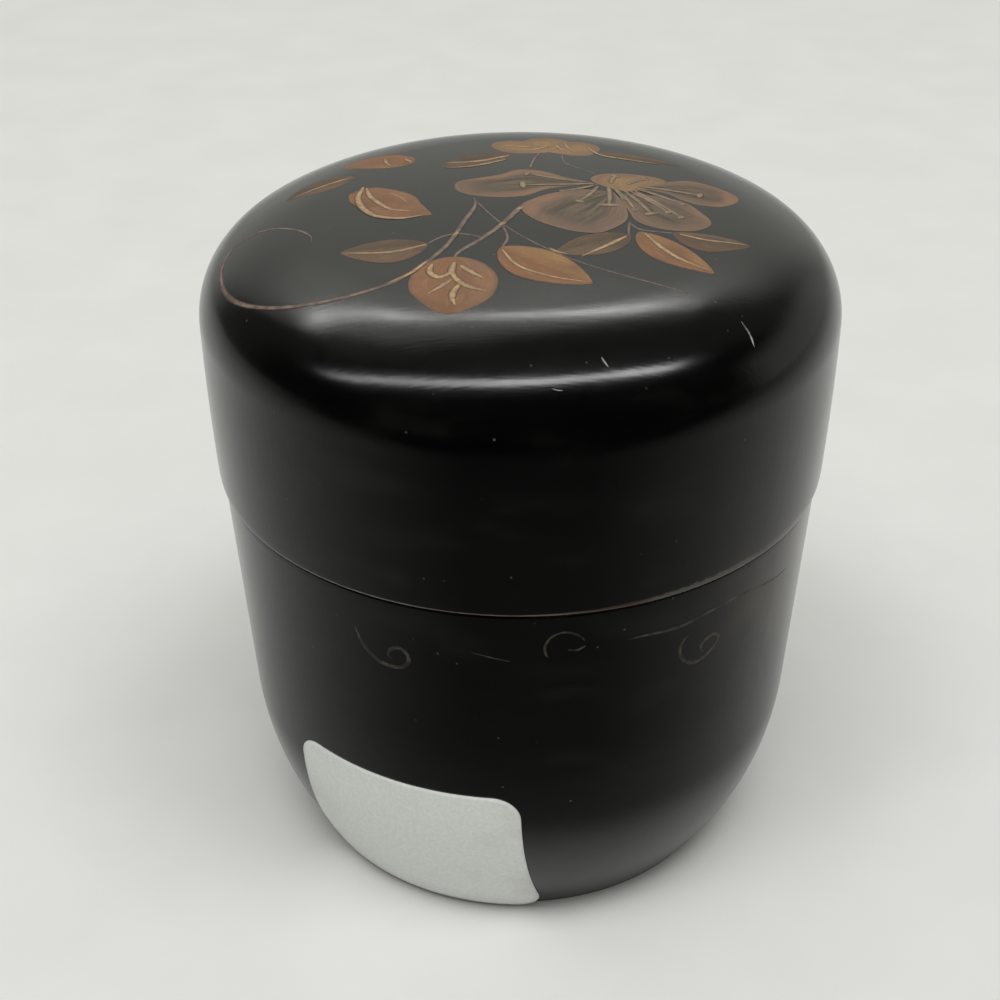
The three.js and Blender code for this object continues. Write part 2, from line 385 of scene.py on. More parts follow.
def swell(stations, count):
    """Half width along a petal: a smooth curve through evenly spaced values, times
    the square root of one less the twelfth power of the way from the middle, which
    rounds both ends off."""
    steps = np.stack([np.arange(len(stations)), stations], axis=1)
    along = np.linspace(-1.0, 1.0, count)
    return np.maximum(smooth_path(steps, count)[:, 1], 0.0) * np.sqrt(1.0 - along**12)


# %% [markdown]
# The sprays on such caddies are a common ornament: one open flower, a few
# loose leaves and a vine that trails off to one side. The layout here follows
# the lid's: flower right of the middle, bud in front, tendril on the left. Each
# leaf is written as its base, its tip, how far it bends and how wide each half
# is, in millimetres on the crown seen from above.

# %% Leaves
LEAVES = {
    "leaf_front": ("leaf", (-2.0, -9.2), (6.6, -16.6), 0.0, 2.6, 3.6),
    "leaf_right": ("leaf", (11.6, -5.5), (18.3, -13.7), 0.0, 1.5, 2.8),
    "leaf_left": ("dim_leaf", (-9.0, -8.2), (-17.6, -9.1), 0.0, 3.3, 1.8),
    "leaf_under_flower": ("dim_leaf", (10.8, -6.3), (3.2, -10.6), 0.0, 2.4, 2.0),
    "leaf_far_right": ("dim_leaf", (15.0, -5.4), (22.6, -7.1), 0.0, 0.7, 3.2),
    "leaf_back_left": ("dim_leaf", (-17.3, 10.2), (-24.3, 5.6), -0.2, 1.7, 1.7),
    "leaf_back": ("dim_leaf", (-0.8, 15.4), (-8.4, 12.0), 0.0, 1.9, 1.8),
    "leaf_back_right": ("dim_leaf", (8.2, 16.1), (17.4, 12.6), 0.3, 0.9, 1.0),
}
LEAF_STEPS = 48
LEAF_LEAN = 0.85  # under one, so a leaf is widest nearer its base
LEAF_THICKNESS = 0.025
spray = []
for name, (kind, base, tip, bend, half_left, half_right) in LEAVES.items():
    spine = straight_spine(base, tip, bend, LEAF_STEPS)
    left = leaf_widths(half_left, LEAF_LEAN, LEAF_STEPS)
    right = leaf_widths(half_right, LEAF_LEAN, LEAF_STEPS)
    spray.append((stroke(name, on_crown, spine, left, right, LEAF_THICKNESS), kind))
curled = straight_spine((-17.5, 5.3), (-8.7, -1.4), 0.0, LEAF_STEPS)
left = swell([1.9, 2.8, 3.1, 3.2, 3.1, 2.6, 1.6, 0.8, 0.0], LEAF_STEPS)
right = swell([0.5, 1.8, 2.4, 2.9, 3.3, 3.2, 2.6, 1.5, 0.0], LEAF_STEPS)
spray.append((stroke("leaf_curled", on_crown, curled, left, right, LEAF_THICKNESS), "bud"))
print("leaves:", len(spray))

# %% [markdown]
# No two petals are alike, because each was laid in with a few turns of a loaded
# brush. So each is written as its spine, its half widths to the left and to the
# right of it, at nine even steps from the flower's heart to the petal's outer
# edge, and the height that lifts it over its neighbours.

# %% Petals of the open flower
PETAL_THICKNESS = 0.012
PETAL_STEPS = 64
PETALS = {
    "petal_left": (
        [(8.5, 6.3), (3.0, 6.8), (-2.0, 6.2), (-6.8, 6.0)],
        [0.0, 0.6, 1.3, 2.2, 3.3, 3.6, 3.3, 2.7, 1.6],
        [0.0, 0.8, 1.8, 3.5, 4.0, 3.0, 2.4, 1.9, 1.4], 0.0),
    "petal_right": (
        [(11.5, 6.0), (17.0, 5.0), (22.7, 4.0)],
        [0.0, 0.9, 1.9, 2.7, 3.4, 3.3, 2.7, 1.9, 1.0],
        [0.0, 0.3, 0.6, 1.1, 2.2, 2.9, 3.0, 2.6, 1.2], 0.0),
    "petal_back": (
        [(11.0, 4.4), (11.3, 7.0), (11.6, 9.6)],
        [0.0, 1.6, 2.6, 3.4, 3.8, 3.9, 3.6, 3.0, 2.0],
        [0.0, 1.5, 2.4, 3.0, 3.5, 3.9, 4.0, 3.4, 2.2], 0.006),
    "petal_front_right": (
        [(10.2, 4.0), (14.2, 0.2), (18.4, -4.1)],
        [0.0, 1.2, 2.1, 2.8, 3.2, 3.2, 2.7, 2.2, 1.6],
        [0.0, 1.3, 2.2, 3.1, 4.0, 4.2, 3.8, 2.9, 1.6], 0.012),
    "petal_front_left": (
        [(9.8, 4.2), (6.4, 0.0), (3.1, -4.6)],
        [0.0, 2.0, 3.5, 4.6, 5.2, 5.3, 5.1, 4.6, 3.2],
        [0.0, 2.7, 3.7, 4.5, 5.1, 5.4, 5.5, 4.6, 2.8], 0.018),
}
for name, (points, left, right, lift) in PETALS.items():
    spine = smooth_path(points, PETAL_STEPS)
    left = swell(left, PETAL_STEPS)
    right = swell(right, PETAL_STEPS)
    kind = "gold_petal" if name == "petal_back" else "petal"
    spray.append((stroke(name, on_crown, spine, left, right, PETAL_THICKNESS, 32, lift), kind))
print("petals:", len(PETALS))

# %% [markdown]
# A second flower peeps over the far side of the crown, and two buds hang from
# the stems. They need no form of their own: three broad strokes side by side
# read as a flower seen nearly edge-on, and a bud is one wide stroke.

# %% The flower behind, the round bud and the half-open bud
BEHIND = (3.4, 16.2)
FAR_PETALS = {
    "far_left": ((-2.8, 19.4), 2.2),
    "far_middle": ((2.6, 21.4), 2.9),
    "far_right": ((8.9, 18.4), 2.5),
}
for name, (tip, half) in FAR_PETALS.items():
    spine = straight_spine(BEHIND, tip, 0.0, LEAF_STEPS)
    widths = half * np.sin(np.pi * np.linspace(0.0, 1.0, LEAF_STEPS) ** 1.3) ** 0.62
    spray.append((stroke(name, on_crown, spine, widths, widths, PETAL_THICKNESS, 24), "gold_petal"))
bud_spine = smooth_path([(-6.6, -11.0), (-6.5, -16.4), (-6.6, -21.8)], PETAL_STEPS)
bud_left = swell([1.4, 2.8, 3.7, 4.2, 4.3, 4.1, 3.6, 2.5, 0.9], PETAL_STEPS)
bud_right = swell([1.4, 2.8, 3.7, 4.1, 4.2, 4.0, 3.3, 2.3, 1.4], PETAL_STEPS)
spray.append((stroke("bud", on_crown, bud_spine, bud_left, bud_right, LEAF_THICKNESS, 32), "bud"))
half_spine = smooth_path([(-11.0, 14.2), (-14.8, 14.4), (-18.9, 13.5)], LEAF_STEPS)
half_open = 2.3 * np.sin(np.pi * np.linspace(0.0, 1.0, LEAF_STEPS) ** 0.8) ** 0.7
spray.append((stroke("half_open_bud", on_crown, half_spine, half_open, half_open, PETAL_THICKNESS), "bud"))
print("flower behind and buds:", len(FAR_PETALS) + 2)

# %% [markdown]
# A stem is one pull of a thin brush. Each is written as its path and its half
# widths at the start and at the end, and a curve through the points keeps even
# the long tendril smooth, where a chain of straight pieces would show corners.

# %% Stems and tendrils
STEMS = {
    "stem_main": (
        [(0.9, 1.4), (-0.2, -0.5), (-1.8, -4.0), (-3.7, -7.1), (-6.0, -10.1), (-6.4, -11.6)], 0.5, 0.2),
    "stem_long": (
        [(-4.6, 2.9), (-4.6, 0.2), (-5.6, -3.2), (-6.6, -6.9), (-8.1, -10.4), (-10.8, -14.5),
         (-14.4, -17.0), (-18.6, -17.6), (-22.8, -16.6), (-26.4, -14.0), (-28.8, -10.2),
         (-29.8, -5.4), (-28.9, -2.2), (-26.0, -1.1), (-22.8, -2.6), (-20.9, -4.6), (-20.5, -6.4)],
        0.36, 0.14),
    "stem_crossing": ([(-4.8, 2.7), (-1.8, -4.0), (2.8, -9.9), (7.9, -13.9), (15.6, -17.8)], 0.13, 0.09),
    "twig_left": ([(-3.8, -7.0), (-5.1, -6.3), (-6.6, -6.1), (-7.9, -6.8), (-9.2, -8.2)], 0.14, 0.16),
    "twig_front": ([(-1.8, -4.0), (-1.3, -7.2), (-1.9, -9.4)], 0.16, 0.2),
    "twig_under": ([(10.9, -3.2), (10.7, -4.8), (10.6, -6.6)], 0.18, 0.22),
    "twig_right": ([(10.9, -3.6), (12.0, -5.0), (15.3, -5.6)], 0.16, 0.14),
    "stem_back": ([(2.4, 16.2), (1.7, 13.8), (1.2, 11.0)], 0.22, 0.16),
    "stem_thin": ([(4.7, 15.4), (5.2, 12.4), (8.4, 9.2)], 0.1, 0.08),
}
STEM_THICKNESS = 0.012
for name, (points, start_half, end_half) in STEMS.items():
    path = smooth_path(points, 24 * len(points))
    along = np.linspace(0.0, 1.0, len(path))
    taper = np.clip(12.0 * np.minimum(along, 1.0 - along), 0.0, 1.0)
    half = (start_half + (end_half - start_half) * along) * taper
    spray.append((stroke(name, on_crown, path, half, half, STEM_THICKNESS, 8), "stem"))
print("stems:", len(STEMS))

# %% [markdown]
# Gold powder is brushed over the coloured lacquer last: a midrib on each leaf,
# stamens in the flower, and a plain calyx of short arms on the bud. These
# strokes are a third as thick, and they taper at both ends as a brush does. They
# are lifted by the height of the paint under them, so that they lie on top of it.

# %% Gold strokes on leaves and buds
LEAF_GOLD = {
    "rib_front": ([(-1.9, -9.6), (-0.4, -13.0), (2.6, -15.2), (6.3, -16.4)], 0.24),
    "rib_left": ([(-9.1, -8.2), (-11.6, -9.3), (-14.0, -9.6), (-17.3, -9.2)], 0.26),
    "rib_under": ([(10.4, -6.6), (8.2, -8.9), (5.7, -11.3)], 0.3),
    "under_edge": ([(2.7, -9.5), (3.4, -10.2), (4.5, -10.8)], 0.18),
    "rib_right": ([(12.2, -5.8), (13.6, -8.8), (15.4, -11.3), (18.0, -13.3)], 0.34),
    "rib_far_right": ([(15.6, -5.7), (18.5, -6.8), (22.3, -7.1)], 0.22),
    "rib_back_left": ([(-17.6, 10.1), (-20.8, 7.9), (-23.8, 5.8)], 0.2),
    "rib_back": ([(-0.9, 15.1), (-4.1, 13.4), (-8.0, 13.0)], 0.3),
    "rib_back_edge": ([(-1.2, 13.8), (-4.6, 11.9), (-7.8, 11.4)], 0.22),
    "rib_back_right": ([(7.5, 18.2), (8.9, 15.5), (11.4, 14.3), (15.4, 12.9)], 0.22),
    "curl_edge": (
        [(-16.2, 6.9), (-16.6, 4.0), (-16.0, 1.3), (-14.5, -1.0), (-12.0, -1.9), (-9.6, -1.4)], 0.44),
    "curl_fold": ([(-15.9, 6.6), (-15.2, 3.8), (-13.2, 0.6), (-11.0, -0.2)], 0.34),
    "curl_line": ([(-13.6, 4.9), (-12.4, 3.7), (-11.3, 1.8)], 0.1),
    "calyx_left": ([(-8.5, -12.4), (-8.7, -14.0), (-7.9, -15.1), (-7.0, -14.6), (-6.3, -13.6)], 0.42),
    "calyx_stalk": ([(-6.4, -12.2), (-6.6, -14.2), (-5.9, -16.2)], 0.42),
    "calyx_right": ([(-5.8, -12.9), (-4.9, -14.1), (-3.6, -15.5)], 0.42),
    "calyx_front_right": ([(-6.6, -14.8), (-5.3, -16.8), (-3.2, -18.1)], 0.42),
    "calyx_front": ([(-5.9, -16.6), (-6.5, -18.6), (-6.2, -20.5)], 0.42),
    "calyx_front_left": ([(-6.6, -15.6), (-7.5, -16.8), (-8.9, -18.3)], 0.34),
    "bud_gold_1": ([(-14.4, 15.3), (-14.2, 14.0), (-13.6, 12.7)], 0.26),
    "bud_gold_2": ([(-12.2, 15.0), (-11.9, 14.4), (-11.4, 13.6)], 0.3),
    "far_gold_1": ([(1.4, 16.8), (2.6, 17.6), (4.2, 18.6)], 0.24),
    "far_gold_2": ([(4.2, 18.6), (4.6, 17.4), (5.2, 16.4)], 0.24),
    "far_gold_3": ([(5.2, 19.2), (5.5, 17.8), (6.1, 16.4)], 0.2),
    "far_gold_4": ([(-1.6, 18.6), (1.0, 18.0), (2.6, 18.4)], 0.18),
    "stem_gold": ([(-8.9, -11.6), (-10.6, -14.2), (-12.8, -16.0)], 0.26),
    "knot_1": ([(0.3, 0.1), (0.0, -0.3), (-0.3, -0.6)], 0.36),
    "knot_2": ([(-1.5, -3.6), (-1.8, -4.0), (-2.1, -4.4)], 0.34),
    "knot_3": ([(-6.2, -5.7), (-6.4, -6.2), (-6.7, -6.6)], 0.28),
}
GOLD_THICKNESS = 0.008
gold = []
for name, (points, widest) in LEAF_GOLD.items():
    path = smooth_path(points, 16 * len(points))
    along = np.linspace(0.0, 1.0, len(path))
    half = widest * np.sin(np.pi * along**0.7) ** 0.6
    gold.append((stroke(name, on_crown, path, half, half, GOLD_THICKNESS, 8, LEAF_THICKNESS), "gold"))
print("gold strokes on leaves and buds:", len(gold))

# %% [markdown]
# The stamens fan out from the flower's heart over its petals. Each is a filament
# with a short bar across its end, and a row gives where it starts, where it ends
# and half the bar's length.

# %% Stamens, each a filament with a small head
FILAMENTS = [
    ((8.0, 6.5), (0.4, 6.0), 0.9), ((7.2, 6.8), (0.9, 9.2), 0.5), ((7.8, 6.0), (4.4, 4.3), 0.3),
    ((8.2, 5.8), (6.1, 1.6), 0.5), ((9.2, 5.6), (9.0, 0.8), 1.2), ((9.8, 5.2), (10.5, 2.5), 0.2),
    ((10.8, 4.6), (13.2, -1.1), 0.8), ((10.2, 4.4), (11.6, -0.3), 0.4), ((11.4, 4.6), (14.9, -0.6), 0.4),
    ((11.8, 4.8), (16.1, -1.7), 0.4), ((12.2, 6.0), (18.6, 4.3), 0.6), ((12.0, 5.4), (16.6, 1.6), 0.3),
    ((9.6, 6.6), (10.2, 8.8), 0.5), ((11.2, 6.4), (13.2, 8.2), 0.5),
]
PETAL_TOP = 0.032  # the height of the petals that the stamens lie on
FILAMENT_STEPS = 24
ANTHER_STEPS = 20
for number, (base, head, reach) in enumerate(FILAMENTS):
    path = straight_spine(base, head, 0.15, FILAMENT_STEPS)
    half = 0.3 * np.sin(np.pi * np.linspace(0.0, 1.0, FILAMENT_STEPS) ** 0.8) ** 0.4
    filament = stroke(f"stamen_{number}", on_crown, path, half, half, GOLD_THICKNESS, 8, PETAL_TOP)
    run = np.subtract(head, base) / np.linalg.norm(np.subtract(head, base))
    cross = np.array([-run[1], run[0]]) * reach
    bar = straight_spine(np.array(head) - cross, np.array(head) + cross, 0.0, ANTHER_STEPS)
    half = 0.42 * np.sin(np.pi * np.linspace(0.0, 1.0, ANTHER_STEPS)) ** 0.5
    anther = stroke(f"anther_{number}", on_crown, bar, half, half, GOLD_THICKNESS, 8, PETAL_TOP)
    gold += [(filament, "dull_gold"), (anther, "dull_gold")]
print("stamens:", len(FILAMENTS))

# %% [markdown]
# Three small chips on the shoulder catch the light. Drawn as strokes they keep
# their place and their sharp ends, which a pattern in the lacquer wouldn't give.

# %% Scratches on the shoulder
SCRATCHES = {
    "scratch_long": ([(20.2, -19.9), (20.9, -21.0), (21.3, -22.1)], 0.14),
    "scratch_short": ([(6.9, -27.1), (7.2, -27.6), (7.5, -28.0)], 0.13),
    "scratch_faint": ([(2.4, -30.2), (2.9, -30.3), (3.4, -30.3)], 0.05),
}
SCRATCH_STEPS = 24
SCRATCH_RAISED = 0.01  # the chipped edge stands up a little
for name, (points, widest) in SCRATCHES.items():
    path = smooth_path(points, SCRATCH_STEPS)
    half = widest * np.sin(np.pi * np.linspace(0.0, 1.0, SCRATCH_STEPS)) ** 0.5
    gold.append((stroke(name, on_crown, path, half, half, SCRATCH_RAISED, 8), "scratch"))
print("scratches:", len(SCRATCHES))

# %% [markdown]
# Under the seam the cup carries a few small scrolls, painted thin and worn
# nearly away. They are strokes too, but laid round the side: the plan's first
# number is now a length round the cup, and the second is a height.


# %% Scrolls on the cup's side
def on_side(around, height, raised):
    """A place on the upright side, by length round from the front and height."""
    r = BODY_RADIUS - (LEDGE_HEIGHT - height) * np.tan(lean) + raised
    angle = -0.5 * np.pi + around / BODY_RADIUS
    return np.stack([r * np.cos(angle), r * np.sin(angle), height], axis=-1)


SCROLLS = {
    "scroll_left": (
        [(-17.6, 41.0), (-17.2, 39.9), (-16.6, 38.6), (-15.4, 37.4), (-13.9, 36.9), (-12.5, 37.1),
         (-11.7, 37.9), (-11.7, 38.9), (-12.5, 39.5), (-13.4, 39.1), (-13.8, 38.2), (-13.1, 37.9)], 0.36),
    "scroll_middle": (
        [(6.2, 41.4), (5.1, 42.6), (3.7, 43.0), (2.6, 42.5), (2.0, 41.4), (2.1, 40.5), (2.4, 39.9)], 0.24),
    "scroll_middle_inner": ([(6.1, 41.2), (5.2, 40.7), (4.1, 40.8)], 0.22),
    "scroll_right": (
        [(17.6, 39.4), (16.7, 38.9), (16.3, 37.6), (16.9, 36.2), (18.4, 35.3), (19.8, 35.6), (20.9, 36.5),
         (21.3, 37.4), (20.5, 38.0), (19.3, 37.6), (19.0, 36.8), (19.6, 36.0)], 0.36),
    "vine_right": ([(9.4, 41.0), (12.4, 41.0), (15.7, 40.8), (18.4, 41.1), (21.7, 41.4), (25.4, 41.1),
                    (30.2, 40.0), (34.4, 39.5)], 0.28),
    "vine_left": ([(-5.6, 40.6), (-3.2, 40.0), (-0.9, 39.5)], 0.12),
}
SCROLL_THICKNESS = 0.025
scrolls = []
for name, (points, widest) in SCROLLS.items():
    path = smooth_path(points, 16 * len(points))
    along = np.linspace(0.0, 1.0, len(path))
    half = widest * np.clip(6.0 * np.minimum(along, 1.0 - along), 0.0, 1.0)
    scrolls.append(stroke(name, on_side, path, half, half, SCROLL_THICKNESS))
print("scrolls:", len(scrolls))

# %% [markdown]
# Each finish starts from what the real surface is. Two helpers do all the wiring:
# one puts a value into a socket, and the other adds a node with its settings and
# its links. Colours are written as sRGB hex, and where two of them meet, one is
# laid over the other as a lacquerer does. A Map Range is written as its value,
# the range that it comes from and the range that it goes to.


# %% Helpers for the finishes
def linear(hex_colour):
    """An sRGB hex colour as linear RGBA."""
    value = np.array([int(hex_colour[i:i + 2], 16) for i in (1, 3, 5)]) / 255.0
    out = np.where(value <= 0.04045, value / 12.92, ((value + 0.055) / 1.055) ** 2.4)
    return (*out.tolist(), 1.0)


def feed(tree, socket, value):
    """Puts a number, a hex colour or another node's output into a socket. A node
    given whole stands for the first of its outputs that is in use."""
    if isinstance(value, bpy.types.Node):
        value = next(output for output in value.outputs if output.enabled)
    if isinstance(value, bpy.types.NodeSocket):
        tree.links.new(value, socket)
    else:
        socket.default_value = linear(value) if isinstance(value, str) else value


def add(tree, kind, *values, stops=(), **named):
    """Adds a node. Plain values fill its inputs in order. Named ones are its own
    properties, or the inputs of that name. Stops, each a place and a colour, fill
    a colour ramp."""
    node = tree.nodes.new("ShaderNode" + kind)
    inputs = dict(enumerate(values))
    for key, value in named.items():
        if hasattr(node, key):
            setattr(node, key, value)
        else:
            inputs[key.replace("_", " ")] = value
    for key, value in inputs.items():
        feed(tree, node.inputs[key], value)
    for number, (place, colour) in enumerate(stops):
        points = node.color_ramp.elements
        point = points[number] if number < len(points) else points.new(place)
        point.position = place
        point.color = linear(colour)
    return node


def finish_for(name, **constants):
    """A new material whose tree holds its shader and output alone. The constants
    go to the shader's own sockets."""
    material = bpy.data.materials.new(name)
    material.use_nodes = True
    shader = material.node_tree.nodes["Principled BSDF"]
    for key, value in constants.items():
        shader.inputs[key.replace("_", " ")].default_value = value
    return material, material.node_tree, shader


SMOOTH = {"interpolation_type": "SMOOTHSTEP"}  # a Map Range that sets in and ends softly


def layer(tree, under, over, value, low, high, reach=1.0):
    """Lays one colour over another: none of it where a value is below low, then
    smoothly more of it, as far as a share of reach where the value is above high."""
    share = add(tree, "MapRange", value, low, high, To_Max=reach, **SMOOTH)
    return add(tree, "Mix", data_type="RGBA", Factor=share, A=under, B=over)


# %% [markdown]
# Black lacquer is a thick clear brown film over black, rubbed smooth: nearly a
# mirror, softened by years of handling. Its colour hardly matters and its
# reflections do, so the work is in roughness and in a very faint unevenness.
# Fine haze and hairlines come from noise at a few tenths of a millimetre, and
# the long soft waves left by the brush from noise at a few millimetres.


# %% Black lacquer
def lacquer(name, worn_from, worn_to, bare_colours):
    """Black lacquer, worn to dusty wood between two heights (millimetres). Out to
    the right the band is painted wider and thinner, a painted reflection off the
    rounded edge laid over the wear, and the black under it has rubbed down to
    olive brown. A film of old polish lies over all."""
    material, tree, shader = finish_for(name)
    place = add(tree, "TexCoord").outputs["Object"]
    part = add(tree, "SeparateXYZ", place)
    aside, height = part.outputs["X"], part.outputs["Z"]
    squeezed = add(tree, "VectorMath", place, (1.0, 1.0, 3.0), operation="MULTIPLY")
    film = add(tree, "TexNoise", Vector=squeezed, Scale=90.0, Detail=6.0)  # 11 mm, with finer smears
    base = add(tree, "ValToRGB", film, stops=[(0.4, "#010101"), (0.55, "#030303"), (0.72, "#0e0e0d")])

    # The rubbed part lies on the right, up to 20 mm under the wear.
    low = worn_from * MM
    outer = add(tree, "MapRange", aside, 0.016, 0.03, **SMOOTH)
    below = add(tree, "MapRange", height, low - 0.02, low - 0.004, **SMOOTH)
    above = add(tree, "MapRange", height, low + 0.0005, low + 0.003, **SMOOTH)
    blotches = add(tree, "TexNoise", Vector=place, Scale=220.0, Detail=4.0)  # 5 mm
    blotches = add(tree, "MapRange", blotches, 0.3, 0.7, **SMOOTH)
    rubbed = add(tree, "Math", outer, below, operation="MULTIPLY")
    above = add(tree, "Math", 1.0, above, operation="SUBTRACT")
    rubbed = add(tree, "Math", rubbed, above, operation="MULTIPLY")
    rubbed = add(tree, "Math", rubbed, blotches, operation="MULTIPLY")
    base = add(tree, "Mix", data_type="RGBA", Factor=rubbed, A=base, B="#3a3322")

    # The wear is whole between the two heights and torn at its edges. Towards the
    # right the band is painted five times as high, a painted reflection off the
    # rounded edge laid over the wear, and it is thinner there by the root of that.
    ragged = add(tree, "TexNoise", Vector=place, Scale=900.0, Detail=4.0)  # 1 mm
    wider = add(tree, "MapRange", aside, 0.0, 0.028, 1.0, 5.0)
    half = add(tree, "Math", wider, 0.5 * (worn_to - worn_from) * MM, operation="MULTIPLY")
    away = add(tree, "Math", height, 0.5 * (worn_from + worn_to) * MM, operation="SUBTRACT")
    away = add(tree, "Math", away, operation="ABSOLUTE")
    share = add(tree, "Math", away, half, operation="DIVIDE")
    torn = add(tree, "Math", share, ragged, operation="ADD")
    worn = add(tree, "MapRange", torn, 1.75, 1.2, **SMOOTH)
    thinner = add(tree, "Math", wider, operation="SQRT")
    worn = add(tree, "Math", worn, thinner, operation="DIVIDE")
    stain = add(tree, "TexNoise", Vector=place, Scale=60.0, Detail=3.0)  # 17 mm
    bare = add(tree, "ValToRGB", stain, stops=list(zip((0.38, 0.47, 0.7), bare_colours)))
    colour = add(tree, "Mix", data_type="RGBA", Factor=worn, A=base, B=bare)

    cells = add(tree, "TexVoronoi", Vector=place, Scale=400.0)  # specks of dust, 2.5 mm apart
    speck = add(tree, "MapRange", cells.outputs["Distance"], 0.06, 0.03)
    dust = add(tree, "Math", speck, cells.outputs["Color"], operation="MULTIPLY")
    colour = add(tree, "Mix", data_type="RGBA", Factor=dust, A=colour, B="#4c4c4a")
    waves = add(tree, "TexNoise", Vector=place, Scale=150.0, Detail=2.0)  # 7 mm
    waves = add(tree, "Bump", Height=waves, Strength=0.06, Distance=0.0004)
    drawn = add(tree, "VectorMath", place, (1.0, 7.0, 2.0), operation="MULTIPLY")
    hairlines = add(tree, "TexNoise", Vector=drawn, Scale=500.0, Detail=4.0)  # 2 by 0.3 mm
    hairlines = add(tree, "Bump", Height=hairlines, Strength=0.2, Distance=0.00004, Normal=waves)
    haze = add(tree, "MapRange", ragged, 0.0, 1.0, 0.15, 0.21)
    feed(tree, shader.inputs["Base Color"], colour)
    feed(tree, shader.inputs["Roughness"], haze)
    feed(tree, shader.inputs["Normal"], hairlines)
    return material


LID_WEAR = 0.38  # height of the worn strip round the lid's edge
CUP_WEAR = 0.1  # how far the cup is worn above and below its ledge
lid_lacquer = lacquer("lid_black_lacquer", lid_edge, lid_edge + LID_WEAR,
                      ["#4a352d", "#5e5952", "#6b675f"])
cup_lacquer = lacquer("cup_black_lacquer", LEDGE_HEIGHT - CUP_WEAR, LEDGE_HEIGHT + CUP_WEAR,
                      ["#1c1613", "#26211d", "#4a463f"])
print("black lacquers:", lid_lacquer.name, cup_lacquer.name)

# %% [markdown]
# The leaves are iron-red and brown lacquer, laid on thin over the black. One
# half of a leaf, on one side of its rib, is redder than the other, and thin
# places let the ground through. The colour follows the stroke's own UV map: its
# first number runs across the stroke and its second along it.


# %% Coloured lacquer for leaves and buds
def streaked(tree, along, across_count, along_count):
    """Noise in a stroke's own two parameters, drawn out along the stroke."""
    wide = add(tree, "Math", along.outputs["X"], across_count, operation="MULTIPLY")
    long = add(tree, "Math", along.outputs["Y"], along_count, operation="MULTIPLY")
    lines = add(tree, "CombineXYZ", X=wide, Y=long)
    return add(tree, "TexNoise", Vector=lines, Scale=1.6, Detail=3.0)


def outwards(tree, along):
    """How far out across a stroke: 0 on its spine and 1 at either edge."""
    off = add(tree, "Math", along.outputs["X"], 0.5, operation="SUBTRACT")
    off = add(tree, "Math", off, operation="ABSOLUTE")
    return add(tree, "Math", off, 2.0, operation="MULTIPLY")


def leaf_lacquer(name, across, thin_colour, streak_colour):
    """Colours across the leaf through a ramp, with the brush's streaks along it and
    thinner, darker patches and grain. At its very edge the paint runs out to brown."""
    material, tree, shader = finish_for(name, Roughness=0.5, Specular_IOR_Level=0.2)
    texture = add(tree, "TexCoord")
    along = add(tree, "SeparateXYZ", texture.outputs["UV"])
    place = texture.outputs["Object"]
    wander = add(tree, "TexNoise", Vector=place, Scale=900.0, Detail=3.0)  # 1 mm
    patches = add(tree, "TexNoise", Vector=place, Scale=260.0, Detail=4.0)  # 4 mm
    grain = add(tree, "TexNoise", Vector=place, Scale=3000.0, Detail=3.0)  # 0.3 mm
    shifted = add(tree, "Math", wander, 0.16, along.outputs["X"], operation="MULTIPLY_ADD")
    body = add(tree, "ValToRGB", shifted, stops=across)
    body = layer(tree, body, streak_colour, streaked(tree, along, 7.0, 2.0), 0.5, 0.7, 0.6)
    body = layer(tree, body, thin_colour, patches, 0.45, 0.75, 0.7)
    body = layer(tree, body, thin_colour, grain, 0.3, 0.7, 0.3)
    edge = add(tree, "Math", wander, 0.2, outwards(tree, along), operation="MULTIPLY_ADD")
    feed(tree, shader.inputs["Base Color"], layer(tree, body, "#5a4b42", edge, 0.94, 1.14, 0.85))
    return material


paints = {
    "leaf": leaf_lacquer(
        "leaf_iron_red_lacquer",
        [(0.08, "#8a634a"), (0.2, "#825b3e"), (0.54, "#7e5638"), (0.62, "#8b6541"), (0.98, "#906d48")],
        "#694d36", "#9c7a50"),
    "dim_leaf": leaf_lacquer(
        "leaf_dim_brown_lacquer",
        [(0.08, "#6c5440"), (0.2, "#5e4a38"), (0.54, "#524234"), (0.62, "#625040"), (0.98, "#6c5440")],
        "#42382c", "#786248"),
    "bud": leaf_lacquer(
        "bud_red_brown_lacquer",
        [(0.05, "#886049"), (0.3, "#845d3f"), (0.7, "#7e593e"), (0.95, "#846149")],
        "#694c36", "#946f4c"),
}
print("leaf and bud lacquers:", len(paints))

# %% [markdown]
# A petal is thinner than a leaf: dull inside, streaked where the brush ran out
# from the heart, with a redder border and a fine pale line round it. Its own two
# parameters place all of that, so it turns with the petal as the brush did.


